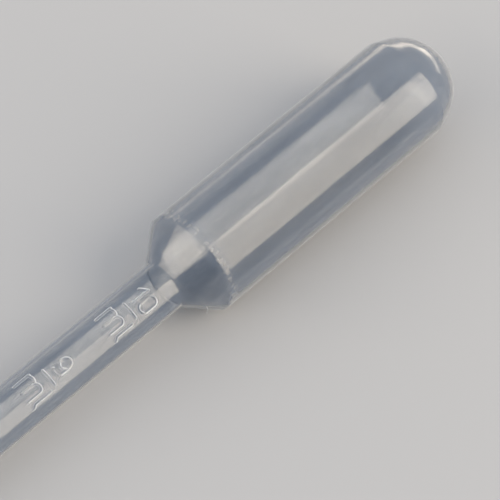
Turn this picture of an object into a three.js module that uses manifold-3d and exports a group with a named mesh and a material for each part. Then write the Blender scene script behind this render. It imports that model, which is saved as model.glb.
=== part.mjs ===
// Graduated plastic dropper pipette, 10 ml, blow-moulded in one piece from natural low-density polyethylene.
//
// One thin-walled shell: a fine spout, a short foot cone, a straight stem whose bore holds 1 ml between its raised
// graduation bars, a neck, a cone, and a squeeze bulb with a domed end. It is open only at the spout's cut face.
//
// Millimetres, +Z up. The pipette lies on a table as it comes to rest, on the foot of its stem and the shoulder of
// its bulb. +X runs from the spout to the bulb, and the origin is the bottom centre of its box.
import * as THREE from "three";
import { mergeVertices } from "three/addons/utils/BufferGeometryUtils.js";
import Module from "manifold-3d";

// Lengths along the axis.
const totalLength = 300; // cut face of the spout to the top of the dome
const spoutLength = 34;
const footLength = 10; // cone from the spout up to the stem
const bulbLength = 68.5; // neck corner to the top of the dome

// Outside diameters.
const tipDiameter = 3.2;
const spoutDiameter = 3.9; // at the spout's root
const stemDiameter = 9.2;
const bulbDiameter = 19.7;

// The cone and the dome of the bulb.
const coneAngle = THREE.MathUtils.degToRad(40); // between the cone's side and the axis
const domeStep = 0.25; // how much smaller the dome's radius is than the barrel's
const barrelOverrun = 0.7; // how far the barrel runs past the dome's centre

// Wall thicknesses: the wall is thickest where the mould is narrowest.
const spoutWall = 0.6;
const stemWall = 0.46;
const bulbWall = 0.42;

// Corner radii of the outside skin.
const spoutRootRadius = 3;
const footRadius = 4;
const neckRadius = 0.4;
const shoulderRadius = 1;
const barrelEndRadius = 2;

// Graduation: a raised bar at each millilitre.
const graduationVolume = 1000; // cubic millimetres
const graduationCount = 10;
const barLength = 3.9; // round the stem
const barWidth = 0.75; // along the stem
const barHeight = 0.2; // above the stem's skin
const barRoot = 0.25; // how deep the bar's root reaches into the wall
const barBevel = 0.1;
const scaleRoll = THREE.MathUtils.degToRad(24); // turn of the scale from straight up towards -Y, at rest

// Facets.
const sides = 48; // round the axis
const arcStep = THREE.MathUtils.degToRad(9); // along a round stretch of the outline
const barArcSegments = 5;

const wasm = await Module();
wasm.setup();

// ---------------------------------------------------------------------------------------------------------------
// Outline. Points are Vector2(radius, height): x is the distance from the axis, y the height above the spout's face.

const point = (radius, height) => new THREE.Vector2(radius, height);

// The left-hand unit normal of the run from a to b, which points to the axis while the outline climbs.
function inwardNormal(a, b) {
  const along = b.clone().sub(a).normalize();
  return point(-along.y, along.x);
}

// Where the line through a and b meets the line through c and d.
function crossing(a, b, c, d) {
  const ab = b.clone().sub(a);
  const cd = d.clone().sub(c);
  const t = c.clone().sub(a).cross(cd) / ab.cross(cd);
  return a.clone().addScaledVector(ab, t);
}

// A run moved inwards by its wall's thickness.
function movedIn(a, b, wall) {
  const shift = inwardNormal(a, b).multiplyScalar(wall);
  return [a.clone().add(shift), b.clone().add(shift)];
}

// Points along an arc, ends included, in steps of about arcStep.
function arcPoints(centre, radius, from, to) {
  const steps = Math.max(2, Math.ceil(Math.abs(to - from) / arcStep));
  return Array.from({ length: steps + 1 }, (_, i) => {
    const angle = from + ((to - from) * i) / steps;
    return point(centre.x + radius * Math.cos(angle), centre.y + radius * Math.sin(angle));
  });
}

// The corner at b, between the runs a-b and b-c, rounded off. A radius is limited so that it fits on both runs.
function roundedCorner(a, b, c, radius) {
  const before = a.clone().sub(b);
  const after = c.clone().sub(b);
  const half = before.angleTo(after) / 2;
  const room = 0.48 * Math.min(before.length(), after.length());
  const fitted = Math.min(radius, room * Math.tan(half));
  const inset = fitted / Math.tan(half);
  const start = b.clone().addScaledVector(before.normalize(), inset);
  const end = b.clone().addScaledVector(after.normalize(), inset);
  const bisector = before.clone().add(after).normalize();
  const centre = b.clone().addScaledVector(bisector, fitted / Math.sin(half));
  const from = start.clone().sub(centre).angle();
  let turn = end.clone().sub(centre).angle() - from;
  if (turn > Math.PI) turn -= 2 * Math.PI;
  if (turn < -Math.PI) turn += 2 * Math.PI;
  return arcPoints(centre, fitted, from, from + turn);
}

// Corners of the outside skin, from the cut face up to the point where the dome takes over.
const neckHeight = totalLength - bulbLength;
const coneLength = (bulbDiameter - stemDiameter) / 2 / Math.tan(coneAngle);
const domeRadius = bulbDiameter / 2 - domeStep;
const domeCentre = point(0, totalLength - domeRadius);
const barrelEnd = point(bulbDiameter / 2, domeCentre.y + barrelOverrun);

// From the end of the barrel a straight run closes in on the dome and meets it tangentially, at this angle above
// the plane through the dome's centre.
const domeStart =
  Math.atan2(barrelOverrun, barrelEnd.x) + Math.acos(domeRadius / barrelEnd.distanceTo(domeCentre));

const skinCorners = [
  point(tipDiameter / 2, 0),
  point(spoutDiameter / 2, spoutLength),
  point(stemDiameter / 2, spoutLength + footLength),
  point(stemDiameter / 2, neckHeight),
  point(bulbDiameter / 2, neckHeight + coneLength),
  barrelEnd,
  point(domeRadius * Math.cos(domeStart), domeCentre.y + domeRadius * Math.sin(domeStart)),
];
// The wall behind each run between two corners, and the rounding of each corner between two runs. A bend that
// opens outwards, such as the neck, gets a larger radius on its inside, and the others a smaller one.
const walls = [spoutWall, stemWall, stemWall, stemWall, bulbWall, bulbWall];
const roundings = [
  { radius: spoutRootRadius, opensOut: true },
  { radius: footRadius, opensOut: false },
  { radius: neckRadius, opensOut: true },
  { radius: shoulderRadius, opensOut: false },
  { radius: barrelEndRadius, opensOut: false },
];

// Corners of the bore: each run of the skin is moved in by its wall, and neighbouring runs are cut at each other.
function boreCorners() {
  const runs = walls.map((wall, i) => movedIn(skinCorners[i], skinCorners[i + 1], wall));
  const mouth = crossing(...runs[0], point(0, 0), point(1, 0));
  const bends = runs.slice(1).map((run, i) => crossing(...runs[i], ...run));
  return [mouth, ...bends, runs.at(-1)[1]];
}

// The whole outline of one side of the wall, from the cut face to the top of the dome on the axis.
function outline(corners, radii, topRadius) {
  const bends = radii.flatMap((radius, i) => roundedCorner(corners[i], corners[i + 1], corners[i + 2], radius));
  const dome = arcPoints(domeCentre, topRadius, domeStart, Math.PI / 2);
  dome.at(-1).x = 0;
  return [corners[0], ...bends, ...dome];
}

const skin = outline(
  skinCorners,
  roundings.map((corner) => corner.radius),
  domeRadius,
);
const bore = outline(
  boreCorners(),
  roundings.map((corner, i) => Math.max(corner.radius + (corner.opensOut ? 1 : -1) * walls[i], walls[i])),
  domeRadius - bulbWall,
);

// ---------------------------------------------------------------------------------------------------------------
// Solids.

function solidOf(geometry) {
  geometry.deleteAttribute("normal");
  geometry.deleteAttribute("uv");
  const merged = mergeVertices(geometry);
  const mesh = new wasm.Mesh({
    numProp: 3,
    vertProperties: merged.getAttribute("position").array,
    triVerts: new Uint32Array(merged.index.array),
  });
  return new wasm.Manifold(mesh);
}

function geometryOf(solid) {
  const mesh = solid.getMesh();
  const geometry = new THREE.BufferGeometry();
  geometry.setAttribute("position", new THREE.BufferAttribute(mesh.vertProperties, 3));
  geometry.setIndex(new THREE.BufferAttribute(mesh.triVerts, 1));
  const faceted = geometry.toNonIndexed();
  faceted.computeVertexNormals();
  return faceted;
}

// The shell: down the bore from the top, across the cut face and up the skin. The first side starts half a side
// past straight up, so that a flat of the skin faces the table.
function shell() {
  const section = [...bore.toReversed(), ...skin];
  return solidOf(new THREE.LatheGeometry(section, sides, Math.PI / sides));
}

// The height at which the bore, filled from the spout, holds a volume.
function fillHeight(volume) {
  let held = 0;
  for (let i = 1; i < bore.length; i++) {
    const [low, high] = [bore[i - 1], bore[i]];
    const rise = high.y - low.y;
    const slice = (Math.PI / 3) * rise * (low.x ** 2 + low.x * high.x + high.x ** 2);
    if (held + slice > volume) return low.y + (rise * (volume - held)) / slice;
    held += slice;
  }
  return totalLength;
}

// A raised bar: a sector of a ring, as tall as the bar is wide, with its edges bevelled.
function bar(height) {
  const stemRadius = stemDiameter / 2;
  const halfSweep = barLength / 2 / stemRadius;
  const middle = scaleRoll - Math.PI / 2;
  const sector = new THREE.Shape();
  sector.absarc(0, 0, stemRadius + barHeight, middle - halfSweep, middle + halfSweep, false);
  sector.absarc(0, 0, stemRadius - barRoot, middle + halfSweep, middle - halfSweep, true);
  const geometry = new THREE.ExtrudeGeometry(sector, {
    depth: barWidth - 2 * barBevel,
    curveSegments: barArcSegments,
    bevelThickness: barBevel,
    bevelSize: barBevel,
    bevelOffset: -barBevel,
    bevelSegments: 1,
  });
  geometry.rotateX(-Math.PI / 2);
  geometry.translate(0, height - barWidth / 2 + barBevel, 0);
  return solidOf(geometry);
}

// Bars at each millilitre, on the straight of the stem between the foot's rounding and the neck's.
function scale() {
  const lowest = spoutLength + footLength + barWidth;
  const highest = neckHeight - neckRadius - barWidth;
  return Array.from({ length: graduationCount }, (_, i) => fillHeight((i + 1) * graduationVolume))
    .filter((height) => height > lowest && height < highest)
    .map(bar);
}

// ---------------------------------------------------------------------------------------------------------------
// At rest. The pipette leans on the longest straight edge of the skin's convex hull, from the foot to the shoulder.

// The outer hull of the outline, from the cut face to the top of the dome.
function hullOf(points) {
  const hull = [];
  for (const p of points) {
    while (hull.length > 1) {
      const [a, b] = hull.slice(-2);
      if (b.clone().sub(a).cross(p.clone().sub(b)) > 0) break;
      hull.pop();
    }
    hull.push(p);
  }
  return hull;
}

function restTilt() {
  const hull = hullOf(skin);
  const edges = hull.slice(1).map((p, i) => p.clone().sub(hull[i]));
  const rest = edges.reduce((longest, edge) => (edge.length() > longest.length() ? edge : longest));
  return Math.atan2(rest.x * Math.cos(Math.PI / sides), rest.y);
}

const polyethylene = new THREE.MeshStandardMaterial({
  color: 0xd9e2ea,
  roughness: 0.18,
  metalness: 0,
  transparent: true,
  opacity: 0.45,
  side: THREE.DoubleSide,
});

const pipette = new THREE.Mesh(geometryOf(scale().reduce((body, rib) => body.add(rib), shell())), polyethylene);
pipette.name = "pipette";
pipette.rotation.z = -Math.PI / 2; // lays the axis along +X, with the scale on top

const resting = new THREE.Group();
resting.rotation.y = -restTilt();
resting.add(pipette);

const part = new THREE.Group();
part.add(resting);
const box = new THREE.Box3().setFromObject(part, true);
const centre = box.getCenter(new THREE.Vector3());
resting.position.set(-centre.x, -centre.y, -box.min.z);

export default part;
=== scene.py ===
"""A graduated dropper pipette of 10 ml, blow-moulded in one piece from translucent polyethylene.

Lengths are in metres, in the frame of the CAD model. The pipette lies on the floor along X, with
its bulb at +X.
"""

import math

import bmesh
import bpy
from mathutils import Matrix, Vector


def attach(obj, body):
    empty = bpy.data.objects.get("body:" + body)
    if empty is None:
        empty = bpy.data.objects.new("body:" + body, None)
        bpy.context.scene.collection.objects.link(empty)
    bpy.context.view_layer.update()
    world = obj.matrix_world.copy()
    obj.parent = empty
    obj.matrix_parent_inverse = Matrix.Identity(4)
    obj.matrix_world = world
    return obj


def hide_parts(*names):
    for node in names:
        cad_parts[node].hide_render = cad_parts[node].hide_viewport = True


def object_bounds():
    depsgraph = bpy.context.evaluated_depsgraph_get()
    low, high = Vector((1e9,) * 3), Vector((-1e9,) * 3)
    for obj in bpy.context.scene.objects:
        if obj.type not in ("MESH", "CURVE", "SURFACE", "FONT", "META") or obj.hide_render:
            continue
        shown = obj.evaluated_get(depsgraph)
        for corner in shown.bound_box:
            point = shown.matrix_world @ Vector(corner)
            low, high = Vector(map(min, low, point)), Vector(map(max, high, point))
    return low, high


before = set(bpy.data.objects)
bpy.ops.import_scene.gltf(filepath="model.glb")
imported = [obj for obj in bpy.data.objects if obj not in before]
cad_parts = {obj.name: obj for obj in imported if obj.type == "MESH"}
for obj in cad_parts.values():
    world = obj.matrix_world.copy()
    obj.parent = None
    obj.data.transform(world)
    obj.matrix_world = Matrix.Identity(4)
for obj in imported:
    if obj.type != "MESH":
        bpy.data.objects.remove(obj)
cad_low, cad_high = [Vector(corner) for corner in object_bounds()]

# --------------------------------------------------------------------------------------------------
# The blown shell, of natural low-density polyethylene. A hot tube is blown out in a two-part mould
# into a cut spout, a foot cone, a straight stem, a cone and a squeeze bulb with a domed end, all in
# one piece. Its wall is thickest where the mould is narrowest.

TOTAL_LENGTH = 0.3
SPOUT_LENGTH = 0.034
FOOT_LENGTH = 0.010
BULB_LENGTH = 0.0685
CONE_ANGLE = math.radians(40)

TIP_RADIUS = 0.0016
SPOUT_RADIUS = 0.00195
STEM_RADIUS = 0.0046
BULB_RADIUS = 0.00985
DOME_RADIUS = 0.0096
BARREL_OVERRUN = 0.0007  # of the barrel past the dome's centre

SPOUT_ROUNDING = 0.003
FOOT_ROUNDING = 0.004
NECK_ROUNDING = 0.0004
SHOULDER_ROUNDING = 0.001
BARREL_ROUNDING = 0.002

SPOUT_WALL = 0.0006
STEM_WALL = 0.00046
BULB_WALL = 0.00042

SCALE_ROLL = math.radians(24)  # turn of the mould from straight up towards -Y

SHELL_SIDES = 144
STEM_RINGS = 90
BARREL_RINGS = 20
DOME_RINGS = 30
TOP_SHRINK = 100  # how much narrower the top is than the last ring, before it closes
SHOULDER_STEPS = 12
NECK_STEPS = 8
SHALLOW_STEPS = 6  # in the roundings of the other corners
RING_REACH = 1e-6  # how far a vertex of a ring may lie from its station
MERIDIAN_REACH = 0.01  # radians from straight up
CREASE_ANGLE = math.radians(35)

# Patterns in the plastic: how long their patches are along the axis, how wide, and their detail.
DRAW_LINES = (0.045, 0.0016, 2)
PEBBLES = (0.0008, 0.0006, 1)
WAVES = (0.011, 0.006, 1)
CLOUDS = (0.02, 0.005, 3)
PATCH_EDGES = (0.3, 0.7)  # where a pattern's patches begin and where they are full

# Heights in the relief, in ripples of the finish.
WAVE_HEIGHT = 3
LINE_HEIGHT = 0.6
PEBBLE_HEIGHT = 0.1

# The pebbled grain lies on the shoulder and, more weakly, on the dome.
SHOULDER_GRAIN = 0.0007  # from the corner to its middle
SHOULDER_GRAIN_REACH = 0.0022
DOME_GRAIN = 0.4
DOME_GRAIN_FADE = 0.008  # along the end of the barrel

PLASTIC_IOR = 1.51
CLOUD_SHADE = 0.87
CLEAR_ROUGHNESS = 0.09
CLEAR_PEBBLES = 0.04
CLEAR_GRAIN = 0.08
HAZE_ROUGHNESS = 0.42
HAZE_PEBBLES = 0.1
HAZE_TRANSMISSION = 0.35
THIN_HAZE = (0.30, 0.52, 0.90, 1)
THICK_HAZE = (0.86, 0.88, 0.90, 1)
HAZE_WHITENS = (0.08, 0.3)  # from one milkiness to the other
FROST_MILK = 0.16
LINE_MILK = 0.04

COAT_IOR = 2
COAT_ROUGHNESS = 0.1
SCALE_HALF_COAT = 0.3
PLAIN_HALF_COAT = 0.7  # more than on the half with the scale
PLAIN_HALF = (-0.001, 0.002)  # below the axis, seen with the scale on top, where that sets in

# Stations along the axis, from the cut end of the spout.
foot = SPOUT_LENGTH + FOOT_LENGTH
neck = TOTAL_LENGTH - BULB_LENGTH
shoulder = neck + (BULB_RADIUS - STEM_RADIUS) / math.tan(CONE_ANGLE)
dome_centre = TOTAL_LENGTH - DOME_RADIUS
barrel_end = dome_centre + BARREL_OVERRUN

# Slopes of the outline. Past the barrel's end it closes in on the dome and meets it at this angle.
spout_slope = math.atan2(SPOUT_RADIUS - TIP_RADIUS, SPOUT_LENGTH)
foot_slope = math.atan2(STEM_RADIUS - SPOUT_RADIUS, FOOT_LENGTH)
dome_start = math.atan2(BARREL_OVERRUN, BULB_RADIUS)
dome_start += math.acos(DOME_RADIUS / math.hypot(BULB_RADIUS, BARREL_OVERRUN))


def rounding_reach(radius, turn):
    """How far from a corner its rounding starts, where the outline turns by that angle."""
    return radius * math.tan(turn / 2)


# Laid down, it rests on the foot of its stem and the shoulder of its bulb. Its axis leans up
# towards the bulb, and the middle of its cut end comes to lie at the tip.
foot_contact = foot + rounding_reach(FOOT_ROUNDING, foot_slope)
shoulder_contact = shoulder + rounding_reach(SHOULDER_ROUNDING, CONE_ANGLE)
lean = math.atan2(BULB_RADIUS - STEM_RADIUS, shoulder_contact - foot_contact)
reach = dome_centre * math.cos(lean) + DOME_RADIUS - TIP_RADIUS * math.sin(lean)
tip = Vector(
    (
        (cad_low.x + cad_high.x - reach) / 2,
        (cad_low.y + cad_high.y) / 2,
        cad_low.z + STEM_RADIUS * math.cos(lean) - foot_contact * math.sin(lean),
    )
)


class Wire:
    """One output in a material. Sums with other wires and with numbers add Math nodes."""

    def __init__(self, tree, socket):
        self.tree = tree
        self.socket = socket

    def node(self, kind, settings, values, output=0):
        """Adds a node, sets it, fills its sockets with values or wires, and returns an output."""
        made = self.tree.nodes.new(kind)
        for name, setting in settings.items():
            setattr(made, name, setting)
        for name, value in values.items():
            if isinstance(value, Wire):
                self.tree.links.new(value.socket, made.inputs[name])
            else:
                made.inputs[name].default_value = value
        return Wire(self.tree, made.outputs[output])

    def maths(self, operation, *terms):
        return self.node("ShaderNodeMath", {"operation": operation}, dict(enumerate(terms)))

    def __add__(self, other):
        return self.maths("ADD", self, other)

    def __sub__(self, other):
        return self.maths("SUBTRACT", self, other)

    def __mul__(self, other):
        return self.maths("MULTIPLY", self, other)

    def __pow__(self, other):
        return self.maths("POWER", self, other)

    def __radd__(self, other):
        return self.maths("ADD", other, self)

    def __rsub__(self, other):
        return self.maths("SUBTRACT", other, self)

    def __rmul__(self, other):
        return self.maths("MULTIPLY", other, self)

    def grain(self, length, width, detail):
        """Noise between 0 and 1 with patches of that size, on a wire of places."""
        stretch = {0: self, 1: (1 / length, 1 / width, 1 / width)}
        places = self.node("ShaderNodeVectorMath", {"operation": "MULTIPLY"}, stretch)
        noise = {"Vector": places, "Scale": 1, "Detail": detail}
        return self.node("ShaderNodeTexNoise", {}, noise)

    def fade(self, start, end):
        """From 0 at one value to 1 at the other, smoothly."""
        settings = {"interpolation_type": "SMOOTHSTEP"}
        values = {"Value": self, "From Min": start, "From Max": end}
        return self.node("ShaderNodeMapRange", settings, values)

    def near(self, station, reach):
        """1 at a station and 0 past its reach."""
        return 1 - self.maths("ABSOLUTE", self - station).fade(0, reach)

    def mix(self, colour, other):
        """From one colour, where this is 0, to the other."""
        # The node's colour sockets share their names with others, so they go by number.
        colours = {0: self, 6: colour, 7: other}
        return self.node("ShaderNodeMix", {"data_type": "RGBA"}, colours, 2)


def polyethylene(name, tint, milk=0, edge_milk=0, edge_power=4, ripple=0, coated=False):
    """Natural polyethylene: clear with a grey cast, bluish in the haze of its thin wall, and white
    where it is thick or seen along its wall. It has the mould's long draw lines and a pebbled grain
    that frosts it. A coat makes it glossier, most of all on the plain half of the mould.
    """
    material = bpy.data.materials.new(name)
    material.use_nodes = True
    tree = material.node_tree
    tree.nodes.clear()
    ground = Wire(tree, tree.nodes.new("ShaderNodeTexCoord").outputs["Object"])
    lie = {"Vector": ground, "Location": tip, "Rotation": (0, -lean, 0)}
    place = ground.node("ShaderNodeMapping", {"vector_type": "TEXTURE"}, lie)
    along = place.node("ShaderNodeSeparateXYZ", {}, {"Vector": place})
    off_scale = {0: place, 1: (0, math.sin(SCALE_ROLL), -math.cos(SCALE_ROLL))}
    below = place.node("ShaderNodeVectorMath", {"operation": "DOT_PRODUCT"}, off_scale, 1)
    gloss = below.fade(*PLAIN_HALF)

    draw_lines = place.grain(*DRAW_LINES)
    pebbles = place.grain(*PEBBLES)
    waves = place.grain(*WAVES)
    shoulder_grain = along.near(shoulder + SHOULDER_GRAIN, SHOULDER_GRAIN_REACH)
    dome_grain = along.fade(barrel_end - DOME_GRAIN_FADE, barrel_end) * DOME_GRAIN
    grain = shoulder_grain.maths("MAXIMUM", shoulder_grain, dome_grain)
    frost = pebbles.fade(*PATCH_EDGES) * grain
    height = waves * WAVE_HEIGHT + draw_lines * LINE_HEIGHT + pebbles * grain * PEBBLE_HEIGHT
    bump = {"Strength": 1, "Distance": ripple, "Height": height}
    relief = height.node("ShaderNodeBump", {}, bump)

    facing = along.node("ShaderNodeLayerWeight", {}, {"Blend": 0.5}, "Facing")
    clouds = place.grain(*CLOUDS).fade(*PATCH_EDGES)
    milkiness = facing**edge_power * edge_milk + milk + frost * FROST_MILK + draw_lines * LINE_MILK
    plastic = {
        "Base Color": clouds.mix(tint, [value * CLOUD_SHADE for value in tint[:3]] + [1]),
        "Roughness": CLEAR_ROUGHNESS + pebbles * CLEAR_PEBBLES + grain * CLEAR_GRAIN,
        "IOR": PLASTIC_IOR,
        "Transmission Weight": 1,
        "Coat Weight": gloss * PLAIN_HALF_COAT + SCALE_HALF_COAT if coated else 0,
        "Coat Roughness": COAT_ROUGHNESS,
        "Coat IOR": COAT_IOR,
        "Normal": relief,
    }
    clear = place.node("ShaderNodeBsdfPrincipled", {}, plastic)
    haze = {
        "Base Color": milkiness.fade(*HAZE_WHITENS).mix(THIN_HAZE, THICK_HAZE),
        "Roughness": HAZE_ROUGHNESS + pebbles * HAZE_PEBBLES,
        "IOR": PLASTIC_IOR,
        "Transmission Weight": HAZE_TRANSMISSION,
        "Normal": relief,
    }
    milky = place.node("ShaderNodeBsdfPrincipled", {}, haze)
    both = place.node("ShaderNodeMixShader", {}, {0: milkiness, 1: clear, 2: milky})
    surface = tree.nodes.new("ShaderNodeOutputMaterial").inputs["Surface"]
    tree.links.new(both.socket, surface)
    return material


skin_finish = polyethylene(
    "polyethylene_skin",
    tint=(0.58, 0.595, 0.61, 1),
    milk=0.09,
    edge_milk=0.6,
    ripple=2e-5,
)
bore_finish = polyethylene(
    "polyethylene_bore",
    tint=(0.95, 0.96, 0.97, 1),
    ripple=1e-5,
    coated=True,
)
mark_finish = polyethylene(
    "polyethylene_marks",
    tint=(0.70, 0.71, 0.72, 1),
    milk=0.15,
    edge_milk=25,
    edge_power=3,
)
seam_finish = polyethylene(
    "polyethylene_seam",
    tint=(0.80, 0.81, 0.82, 1),
    milk=0.45,
    edge_milk=0.5,
    ripple=1e-5,
)
FINISHES = (skin_finish, bore_finish, mark_finish, seam_finish)


def extrude_ring(last, following):
    """Extrudes the selected ring from the last (station, radius) to the following one."""
    step = (following[0] - last[0], 0, 0)
    bpy.ops.mesh.extrude_region_move(TRANSFORM_OT_translate={"value": step})
    share = following[1] / last[1]
    bpy.ops.transform.resize(value=(1, share, share), center_override=(following[0], 0, 0))


def round_ring(station, radius, turn, steps):
    """Bevels the ring of edges at a corner of the outline into a rounding."""
    mesh = bmesh.from_edit_mesh(bpy.context.edit_object.data)
    for vertex in mesh.verts:
        vertex.select_set(abs(vertex.co.x - station) < RING_REACH)
    mesh.select_flush(True)
    mesh.select_flush(False)
    offset = rounding_reach(radius, turn)
    bpy.ops.mesh.bevel(offset=offset, segments=steps, profile=0.5, affect="EDGES")


def blow_shell():
    """The outer skin, extruded ring by ring from the spout's cut end to the top of the dome."""
    bpy.ops.object.select_all(action="DESELECT")
    bpy.ops.mesh.primitive_circle_add(
        vertices=SHELL_SIDES,
        radius=TIP_RADIUS,
        rotation=(0, math.pi / 2, 0),
    )
    bpy.ops.object.transform_apply(rotation=True)
    skin = bpy.context.object
    skin.name = "pipette_shell"

    rings = [(0, TIP_RADIUS), (SPOUT_LENGTH, SPOUT_RADIUS), (foot, STEM_RADIUS)]
    stem_start = foot + 2 * rounding_reach(FOOT_ROUNDING, foot_slope)
    stem_end = neck - 2 * rounding_reach(NECK_ROUNDING, CONE_ANGLE)
    for i in range(STEM_RINGS + 1):
        rings.append((stem_start + (stem_end - stem_start) * i / STEM_RINGS, STEM_RADIUS))
    rings += [(neck, STEM_RADIUS), (shoulder, BULB_RADIUS)]
    barrel_start = shoulder + 2 * rounding_reach(SHOULDER_ROUNDING, CONE_ANGLE)
    barrel_stop = barrel_end - 2 * rounding_reach(BARREL_ROUNDING, dome_start)
    for i in range(BARREL_RINGS + 1):
        rings.append((barrel_start + (barrel_stop - barrel_start) * i / BARREL_RINGS, BULB_RADIUS))
    rings.append((barrel_end, BULB_RADIUS))
    for i in range(DOME_RINGS):
        angle = dome_start + (math.pi / 2 - dome_start) * i / DOME_RINGS
        station = dome_centre + DOME_RADIUS * math.sin(angle)
        rings.append((station, DOME_RADIUS * math.cos(angle)))
    rings.append((TOTAL_LENGTH, rings[-1][1] / TOP_SHRINK))

    bpy.ops.object.mode_set(mode="EDIT")
    bpy.ops.mesh.select_all(action="SELECT")
    for last, following in zip(rings, rings[1:]):
        extrude_ring(last, following)
    bpy.ops.mesh.merge(type="CENTER")
    round_ring(barrel_end, BARREL_ROUNDING, dome_start, SHALLOW_STEPS)
    round_ring(shoulder, SHOULDER_ROUNDING, CONE_ANGLE, SHOULDER_STEPS)
    round_ring(neck, NECK_ROUNDING, CONE_ANGLE, NECK_STEPS)
    round_ring(foot, FOOT_ROUNDING, foot_slope, SHALLOW_STEPS)
    round_ring(SPOUT_LENGTH, SPOUT_ROUNDING, foot_slope - spout_slope, SHALLOW_STEPS)
    bpy.ops.mesh.select_all(action="SELECT")
    bpy.ops.mesh.normals_make_consistent(inside=False)
    bpy.ops.object.mode_set(mode="OBJECT")
    return skin


def thicken(skin):
    """Gives the blown skin its wall, which grows inwards and thins from the spout to the bulb."""
    wall = skin.vertex_groups.new(name="wall")
    for vertex in skin.data.vertices:
        thickness = STEM_WALL if vertex.co.x < neck + NECK_ROUNDING else BULB_WALL
        if vertex.co.x < SPOUT_LENGTH:
            thickness = SPOUT_WALL
        wall.add([vertex.index], thickness / SPOUT_WALL, "REPLACE")
    solidify = skin.modifiers.new("wall", "SOLIDIFY")
    solidify.thickness = SPOUT_WALL
    solidify.offset = -1
    solidify.use_even_offset = True
    solidify.vertex_group = wall.name
    solidify.material_offset = 1
    bpy.ops.object.modifier_apply(modifier=solidify.name)


shell = blow_shell()

# The outline, as (station, radius): the skin's vertices straight above the axis, in order.
outline = sorted(
    (vertex.co.x, vertex.co.z)
    for vertex in shell.data.vertices
    if abs(math.atan2(vertex.co.y, vertex.co.z)) < MERIDIAN_REACH
)
for finish in FINISHES:
    shell.data.materials.append(finish)
thicken(shell)

# --------------------------------------------------------------------------------------------------
# The moulded scale. Flat-topped ridges with sloped sides, cut as grooves into one half of the mould
# and so one with the wall: at each millilitre a bar across the stem, its number above it on the
# bulb's side, and "ml" below it.

FIRST_MARK = 0.0549
MARK_PITCH = 0.0185715
MARK_COUNT = 10

RIDGE_RADIUS = 0.00034
RIDGE_HEIGHT = 0.00018
RIDGE_STEP = 0.00012
RIDGE_TILT = math.pi / 8  # lays the ridge's eight-sided section on a side
BAR_LENGTH = 0.0031
DIGIT_WIDTH = 0.00184
DIGIT_HEIGHT = 0.00357
DIGIT_FOOT = 0.0013  # above the bar
DIGIT_PITCH = 0.00181
PAIR_SHIFT = 0.0002

UNIT_HEIGHT = 0.0033
UNIT_FOOT = -0.00545
M_LEGS = (-0.0026, -0.0007, 0.001)
M_ARCH = 0.0008  # from its foot to its top
M_NOTCH = 0.0001  # from the top of the first leg down to where its arch leaves it
L_ACROSS = 0.00206
L_RISE = 0.00095  # above the m
L_BEND = 0.00075
L_END = (0.00258, 0.0002)

ARC_STEP = math.radians(9)
END_STEPS = (12, 35, 60)  # degrees round a ridge's rounded end
SAME_PLACE = 1e-7


def arc(centre, radii, start, end):
    """Points of an elliptic arc between two angles in degrees."""
    start, end = math.radians(start), math.radians(end)
    steps = max(2, round(abs(end - start) / ARC_STEP))
    points = []
    for i in range(steps + 1):
        angle = start + (end - start) * i / steps
        across = centre[0] + radii[0] * math.cos(angle)
        up = centre[1] + radii[1] * math.sin(angle)
        points.append(Vector((across, up)))
    return points


def line(*points):
    return [Vector(point) for point in points]


# Each digit's strokes, across from its middle and up from its foot, in shares of half its width
# and of its height.
w = DIGIT_WIDTH / 2
h = DIGIT_HEIGHT
DIGITS = {
    "0": [arc((0, h - w), (w, w), 0, 180) + arc((0, w), (w, w), 180, 360) + line((w, h - w))],
    "1": [
        line((0, 0), (0, h)),
        line((0, h), (-1.3 * w, h - 1.05 * w)),
    ],
    "2": [
        arc((0, h - w), (w, w), 165, -35) + line((-w, 0)),
        line((-w, 0), (w, 0)),
    ],
    "3": [
        arc((0, h - 0.95 * w), (0.9 * w, 0.95 * w), 150, -90),
        arc((0, w), (w, h / 2 - 0.45 * w), 90, -150),
    ],
    "4": [
        line((0.4 * w, h), (-w, 0.3 * h)),
        line((-w, 0.3 * h), (w, 0.3 * h)),
        line((0.4 * w, 0.5 * h), (0.4 * w, 0)),
    ],
    "5": [
        line((0.9 * w, h), (-0.8 * w, h)),
        line((-0.8 * w, h), (-0.9 * w, 0.55 * h)),
        arc((0, 0.31 * h), (w, 0.31 * h), 135, -145),
    ],
    "6": [
        arc((0, 0.31 * h), (w, 0.31 * h), 0, 360),
        arc((0, h - w), (w, w), 40, 180) + line((-w, 0.3 * h)),
    ],
    "7": [
        line((-w, h), (w, h)),
        line((w, h), (-0.3 * w, 0)),
    ],
    "8": [
        arc((0, 0.74 * h), (0.85 * w, 0.26 * h), 0, 360),
        arc((0, 0.25 * h), (w, 0.25 * h), 0, 360),
    ],
    "9": [
        arc((0, 0.69 * h), (w, 0.31 * h), 0, 360),
        line((w, 0.7 * h)) + arc((0, w), (w, w), 0, -140),
    ],
}


def arch(left, right, start):
    """One arch of the m, from an angle on its left to its foot on the right."""
    centre = ((left + right) / 2, UNIT_HEIGHT - M_ARCH)
    return arc(centre, ((right - left) / 2, M_ARCH), start, 0) + line((right, 0))


LETTER_M = [
    line((M_LEGS[0], 0), (M_LEGS[0], UNIT_HEIGHT)),
    line((M_LEGS[0], UNIT_HEIGHT - M_NOTCH)) + arch(M_LEGS[0], M_LEGS[1], 120),
    line((M_LEGS[1], UNIT_HEIGHT - M_ARCH)) + arch(M_LEGS[1], M_LEGS[2], 150),
]
LETTER_L = [
    line((L_ACROSS, UNIT_HEIGHT + L_RISE), (L_ACROSS, L_BEND)),
    line((L_ACROSS, L_BEND), L_END),
]


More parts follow.
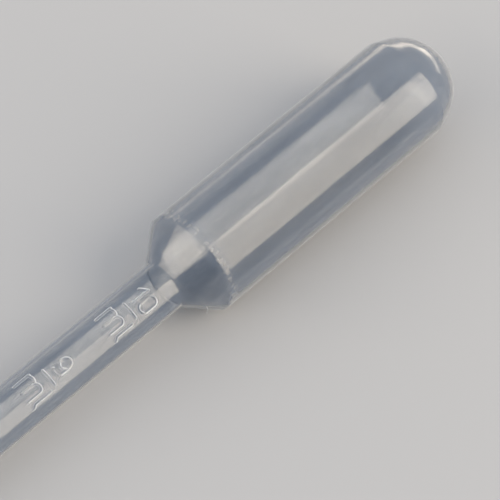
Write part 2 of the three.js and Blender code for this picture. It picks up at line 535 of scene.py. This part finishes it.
def resampled(points):
    """The same path with points no further apart than the ridge's step."""
    path = [points[0]]
    for a, b in zip(points, points[1:]):
        steps = max(1, math.ceil((b - a).length / RIDGE_STEP))
        path += [a.lerp(b, i / steps) for i in range(1, steps + 1)]
    return path


def ridge(path, closed):
    """A flat-topped ridge, laid along places (x, y, z, share of the ridge's radius)."""
    curve = bpy.data.curves.new("ridge", "CURVE")
    curve.dimensions = "3D"
    curve.bevel_depth = RIDGE_RADIUS
    curve.bevel_resolution = 1
    curve.twist_mode = "Z_UP"
    curve.use_fill_caps = True
    spline = curve.splines.new("POLY")
    spline.points.add(len(path) - 1)
    spline.use_cyclic_u = closed
    for spot, (x, y, z, share) in zip(spline.points, path):
        spot.co = (x, y, z, 1)
        spot.radius = share
        spot.tilt = RIDGE_TILT
    piece = bpy.data.objects.new("ridge", curve)
    bpy.context.scene.collection.objects.link(piece)
    return piece


def flat_ridge(stroke, station):
    """The ridge of one stroke, laid flat: across the scale is -Y, towards the bulb is +X."""
    closed = (stroke[0] - stroke[-1]).length < SAME_PLACE
    path = [(point, 1) for point in resampled(stroke)]
    if closed:
        path.pop()
    else:
        first, second = path[0][0], path[1][0]
        last, before = path[-1][0], path[-2][0]
        for angle in reversed(END_STEPS):
            reach = RIDGE_RADIUS * math.cos(math.radians(angle))
            share = math.sin(math.radians(angle))
            path.insert(0, (first + (first - second).normalized() * reach, share))
            path.append((last + (last - before).normalized() * reach, share))
    return ridge([(station + point.y, -point.x, 0, share) for point, share in path], closed)


def joined(pieces, finish):
    """One closed mesh of several ridges that don't touch, in that finish."""
    bpy.ops.object.select_all(action="DESELECT")
    for piece in pieces:
        piece.select_set(True)
    bpy.context.view_layer.objects.active = pieces[0]
    bpy.ops.object.convert(target="MESH")
    bpy.ops.object.join()
    mould = bpy.context.object
    bpy.ops.object.mode_set(mode="EDIT")
    bpy.ops.mesh.select_all(action="SELECT")
    bpy.ops.mesh.remove_doubles(threshold=SAME_PLACE)
    bpy.ops.mesh.normals_make_consistent(inside=False)
    bpy.ops.object.mode_set(mode="OBJECT")
    for slot in FINISHES:
        mould.data.materials.append(slot)
    for face in mould.data.polygons:
        face.material_index = FINISHES.index(finish)
    return mould


def mould_on(relief):
    """Makes a relief one with the shell."""
    union = shell.modifiers.new("relief", "BOOLEAN")
    union.operation = "UNION"
    union.object = relief
    union.solver = "MANIFOLD"
    bpy.context.view_layer.objects.active = shell
    bpy.ops.object.modifier_apply(modifier=union.name)
    bpy.data.objects.remove(relief)


def moved(stroke, across, up):
    return [point + Vector((across, up)) for point in stroke]


# Strokes that touch go into different layers, and each layer is joined to the shell in turn.
layers = [[], [], []]
for mark in range(MARK_COUNT):
    station = FIRST_MARK + MARK_PITCH * mark
    layers[0].append(flat_ridge(line((-BAR_LENGTH / 2, 0), (BAR_LENGTH / 2, 0)), station))
    number = str(mark + 1)
    gaps = len(number) - 1
    glyphs = [(LETTER_M, 0, UNIT_FOOT), (LETTER_L, 0, UNIT_FOOT)]
    for order, digit in enumerate(number):
        across = (order - gaps / 2) * DIGIT_PITCH + gaps * PAIR_SHIFT
        glyphs.append((DIGITS[digit], across, DIGIT_FOOT))
    for strokes, across, up in glyphs:
        for layer, stroke in zip(layers, strokes):
            layer.append(flat_ridge(moved(stroke, across, up), station))

# Each layer is wrapped round the stem, with the ridges' flat tops at their height above the skin.
sunk = RIDGE_RADIUS * math.cos(RIDGE_TILT)
for layer in layers:
    scale = joined(layer, mark_finish)
    for vertex in scale.data.vertices:
        turn = -vertex.co.y / STEM_RADIUS + SCALE_ROLL
        out = STEM_RADIUS + RIDGE_HEIGHT - sunk + vertex.co.z
        vertex.co = (vertex.co.x, -out * math.sin(turn), out * math.cos(turn))
    mould_on(scale)

# --------------------------------------------------------------------------------------------------
# The parting line. Where the halves of the mould met, a quarter turn to each side of the scale, a
# fine bead runs from the spout along the stem and the bulb and over the dome. It is one with the
# wall, of the same plastic.

BEAD_SHARE = 0.36  # of the ridges' radius
BEAD_HEIGHT = 0.00006
BEAD_START = 0.0004  # along which it rises out of the cut end
DOME_FADE = 0.004  # along which it sinks into the top of the dome

bead_radius = RIDGE_RADIUS * BEAD_SHARE
one_side = []
for (x0, r0), (x1, r1), (x2, r2) in zip(outline, outline[1:], outline[2:]):
    slope = Vector((x2 - x0, r2 - r0)).normalized()
    near_end = min(1, (TOTAL_LENGTH - x1) / DOME_FADE)
    depth = bead_radius - BEAD_HEIGHT * near_end
    share = BEAD_SHARE * min(1, x1 / BEAD_START)
    one_side.append((x1 + slope.y * depth, r1 - slope.x * depth, share))
other_side = [(x, -r, share) for x, r, share in reversed(one_side)]
end_point = [(TOTAL_LENGTH - bead_radius, 0, BEAD_SHARE)]
bead_path = [(x, -r, 0, share) for x, r, share in one_side + end_point + other_side]
bead = joined([ridge(bead_path, False)], seam_finish)

# A thread of flash still stands on the cone, on the side that lies lower, and bends back towards
# the stem.
WHISKER_STATION = neck + 0.0033
WHISKER_CURL = (0.0004, 0.00085)
WHISKER_ENDS = (-30, 120)  # degrees round the curl
WHISKER_SHARES = (0.38, 0.22)  # of the ridges' radius, at its root and its end

whisker_root = STEM_RADIUS + (WHISKER_STATION - neck) * math.tan(CONE_ANGLE)
curl = arc((WHISKER_STATION - WHISKER_CURL[0], whisker_root), WHISKER_CURL, *WHISKER_ENDS)
whisker_path = []
for i, point in enumerate(curl):
    share = WHISKER_SHARES[0] + (WHISKER_SHARES[1] - WHISKER_SHARES[0]) * i / (len(curl) - 1)
    whisker_path.append((point.x, -point.y, 0, share))
whisker = joined([ridge(whisker_path, False)], seam_finish)

for trace in (bead, whisker):
    trace.data.transform(Matrix.Rotation(SCALE_ROLL, 4, "X"))
    mould_on(trace)

# The finished shell is laid down as it rests.
shell.data.transform(Matrix.Translation(tip) @ Matrix.Rotation(-lean, 4, "Y"))
bpy.ops.object.select_all(action="DESELECT")
shell.select_set(True)
bpy.ops.object.shade_smooth_by_angle(angle=CREASE_ANGLE)

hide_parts("pipette")
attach(shell, "root")

# --------------------------------------------------------------------------------------------------
# The camera looks down at the bulb and the top of the stem, from the side of the spout and the
# scale. The neck lies a little left of the middle of its view, and below it.

CAMERA_AZIMUTH = math.radians(-45.37)  # from -Y, towards +X
CAMERA_ELEVATION = math.radians(52.91)
CAMERA_DISTANCE = 0.4861
CAMERA_VIEW = math.radians(10)
CAMERA_NEAREST = 0.01
NECK_IN_VIEW = (-0.01466, -0.00601)  # to the right and up, from the middle of the view

camera = bpy.data.objects.new("camera", bpy.data.cameras.new("camera"))
bpy.context.scene.collection.objects.link(camera)
bpy.context.scene.camera = camera
camera.data.angle = CAMERA_VIEW
camera.data.clip_start = CAMERA_NEAREST
back = Vector(
    (
        math.sin(CAMERA_AZIMUTH) * math.cos(CAMERA_ELEVATION),
        -math.cos(CAMERA_AZIMUTH) * math.cos(CAMERA_ELEVATION),
        math.sin(CAMERA_ELEVATION),
    )
)
right = Vector((math.cos(CAMERA_AZIMUTH), math.sin(CAMERA_AZIMUTH), 0))
up = back.cross(right)
neck_point = tip + Vector((math.cos(lean), 0, math.sin(lean))) * neck
spot = neck_point + back * CAMERA_DISTANCE - right * NECK_IN_VIEW[0] - up * NECK_IN_VIEW[1]
camera.matrix_world = Matrix.Translation(spot) @ Matrix((right, up, back)).transposed().to_4x4()

# --------------------------------------------------------------------------------------------------
# The floor: a plain pale sheet under the whole pipette. It fills every view from above, and from
# very low its far edge shows, with the room behind it.

FLOOR_SIZE = 3
FLOOR_PAINT = (0.57, 0.57, 0.57, 1)
FLOOR_ROUGHNESS = 0.9
FLOOR_GLOSS = 0.1

bpy.ops.object.select_all(action="DESELECT")
bpy.ops.mesh.primitive_plane_add(size=FLOOR_SIZE)
floor = bpy.context.object
floor.name = "floor"
paint = bpy.data.materials.new("floor")
paint.use_nodes = True
paint_shader = paint.node_tree.nodes["Principled BSDF"]
paint_shader.inputs["Base Color"].default_value = FLOOR_PAINT
paint_shader.inputs["Roughness"].default_value = FLOOR_ROUGHNESS
paint_shader.inputs["Specular IOR Level"].default_value = FLOOR_GLOSS
floor.data.materials.append(paint)

# --------------------------------------------------------------------------------------------------
# The light: a cool dim room and five warm soft panels. What is seen of the room, straight or in the
# plastic, is a plainer grey than the light it gives.

ROOM_LIGHT = (0.52, 0.57, 0.65, 1)
ROOM_LOOK = (0.44, 0.45, 0.46, 1)
WARM = (1, 0.86, 0.68)
LIT = Vector((0.1, 0, 0.01))  # the place that the panels face, on the bulb
PANEL_DISTANCE = 2.25

world = bpy.data.worlds.new("world")
world.use_nodes = True
room = world.node_tree
light_path = room.nodes.new("ShaderNodeLightPath")
camera_ray = Wire(room, light_path.outputs["Is Camera Ray"])
glossy_ray = Wire(room, light_path.outputs["Is Glossy Ray"])
transmission_ray = Wire(room, light_path.outputs["Is Transmission Ray"])
seen = camera_ray + glossy_ray + transmission_ray
tone = seen.fade(0, 1).mix(ROOM_LIGHT, ROOM_LOOK)
room.links.new(tone.socket, room.nodes["Background"].inputs["Color"])
bpy.context.scene.world = world


def panel(name, azimuth, elevation, width, height, turn, radiance):
    """A soft light that faces the bulb from that azimuth and elevation, turned in its own plane."""
    data = bpy.data.lights.new(name, "AREA")
    data.shape = "RECTANGLE"
    data.size = width
    data.size_y = height
    data.energy = radiance * 4 * width * height
    data.color = WARM
    lamp = bpy.data.objects.new(name, data)
    bpy.context.scene.collection.objects.link(lamp)
    around = Matrix.Rotation(math.radians(azimuth), 4, "Z")
    swing = around @ Matrix.Rotation(-math.radians(elevation), 4, "Y")
    toward = swing @ Vector((PANEL_DISTANCE, 0, 0))
    facing = toward.to_track_quat("Z", "Y").to_matrix().to_4x4()
    own_turn = Matrix.Rotation(math.radians(turn), 4, "Z")
    lamp.matrix_world = Matrix.Translation(LIT + toward) @ facing @ own_turn


# The key gives the barrel its long bright bands, and the left one lights the cone. The other three
# stand low beyond the bulb and draw its far edge, the dome's edge and its end.
panel("key", -62, 28, 1.25, 2.6, 0, 3.1)
panel("left", 164, 34, 3.1, 0.75, 8, 1.8)
panel("rim", 76, 6, 1.25, 0.35, 0, 0.9)
panel("dome", 34, 8, 2.25, 0.5, 0, 3)
panel("end", 2, 6, 1.6, 0.4, 0, 2.4)

bpy.context.scene.view_settings.view_transform = "Standard"
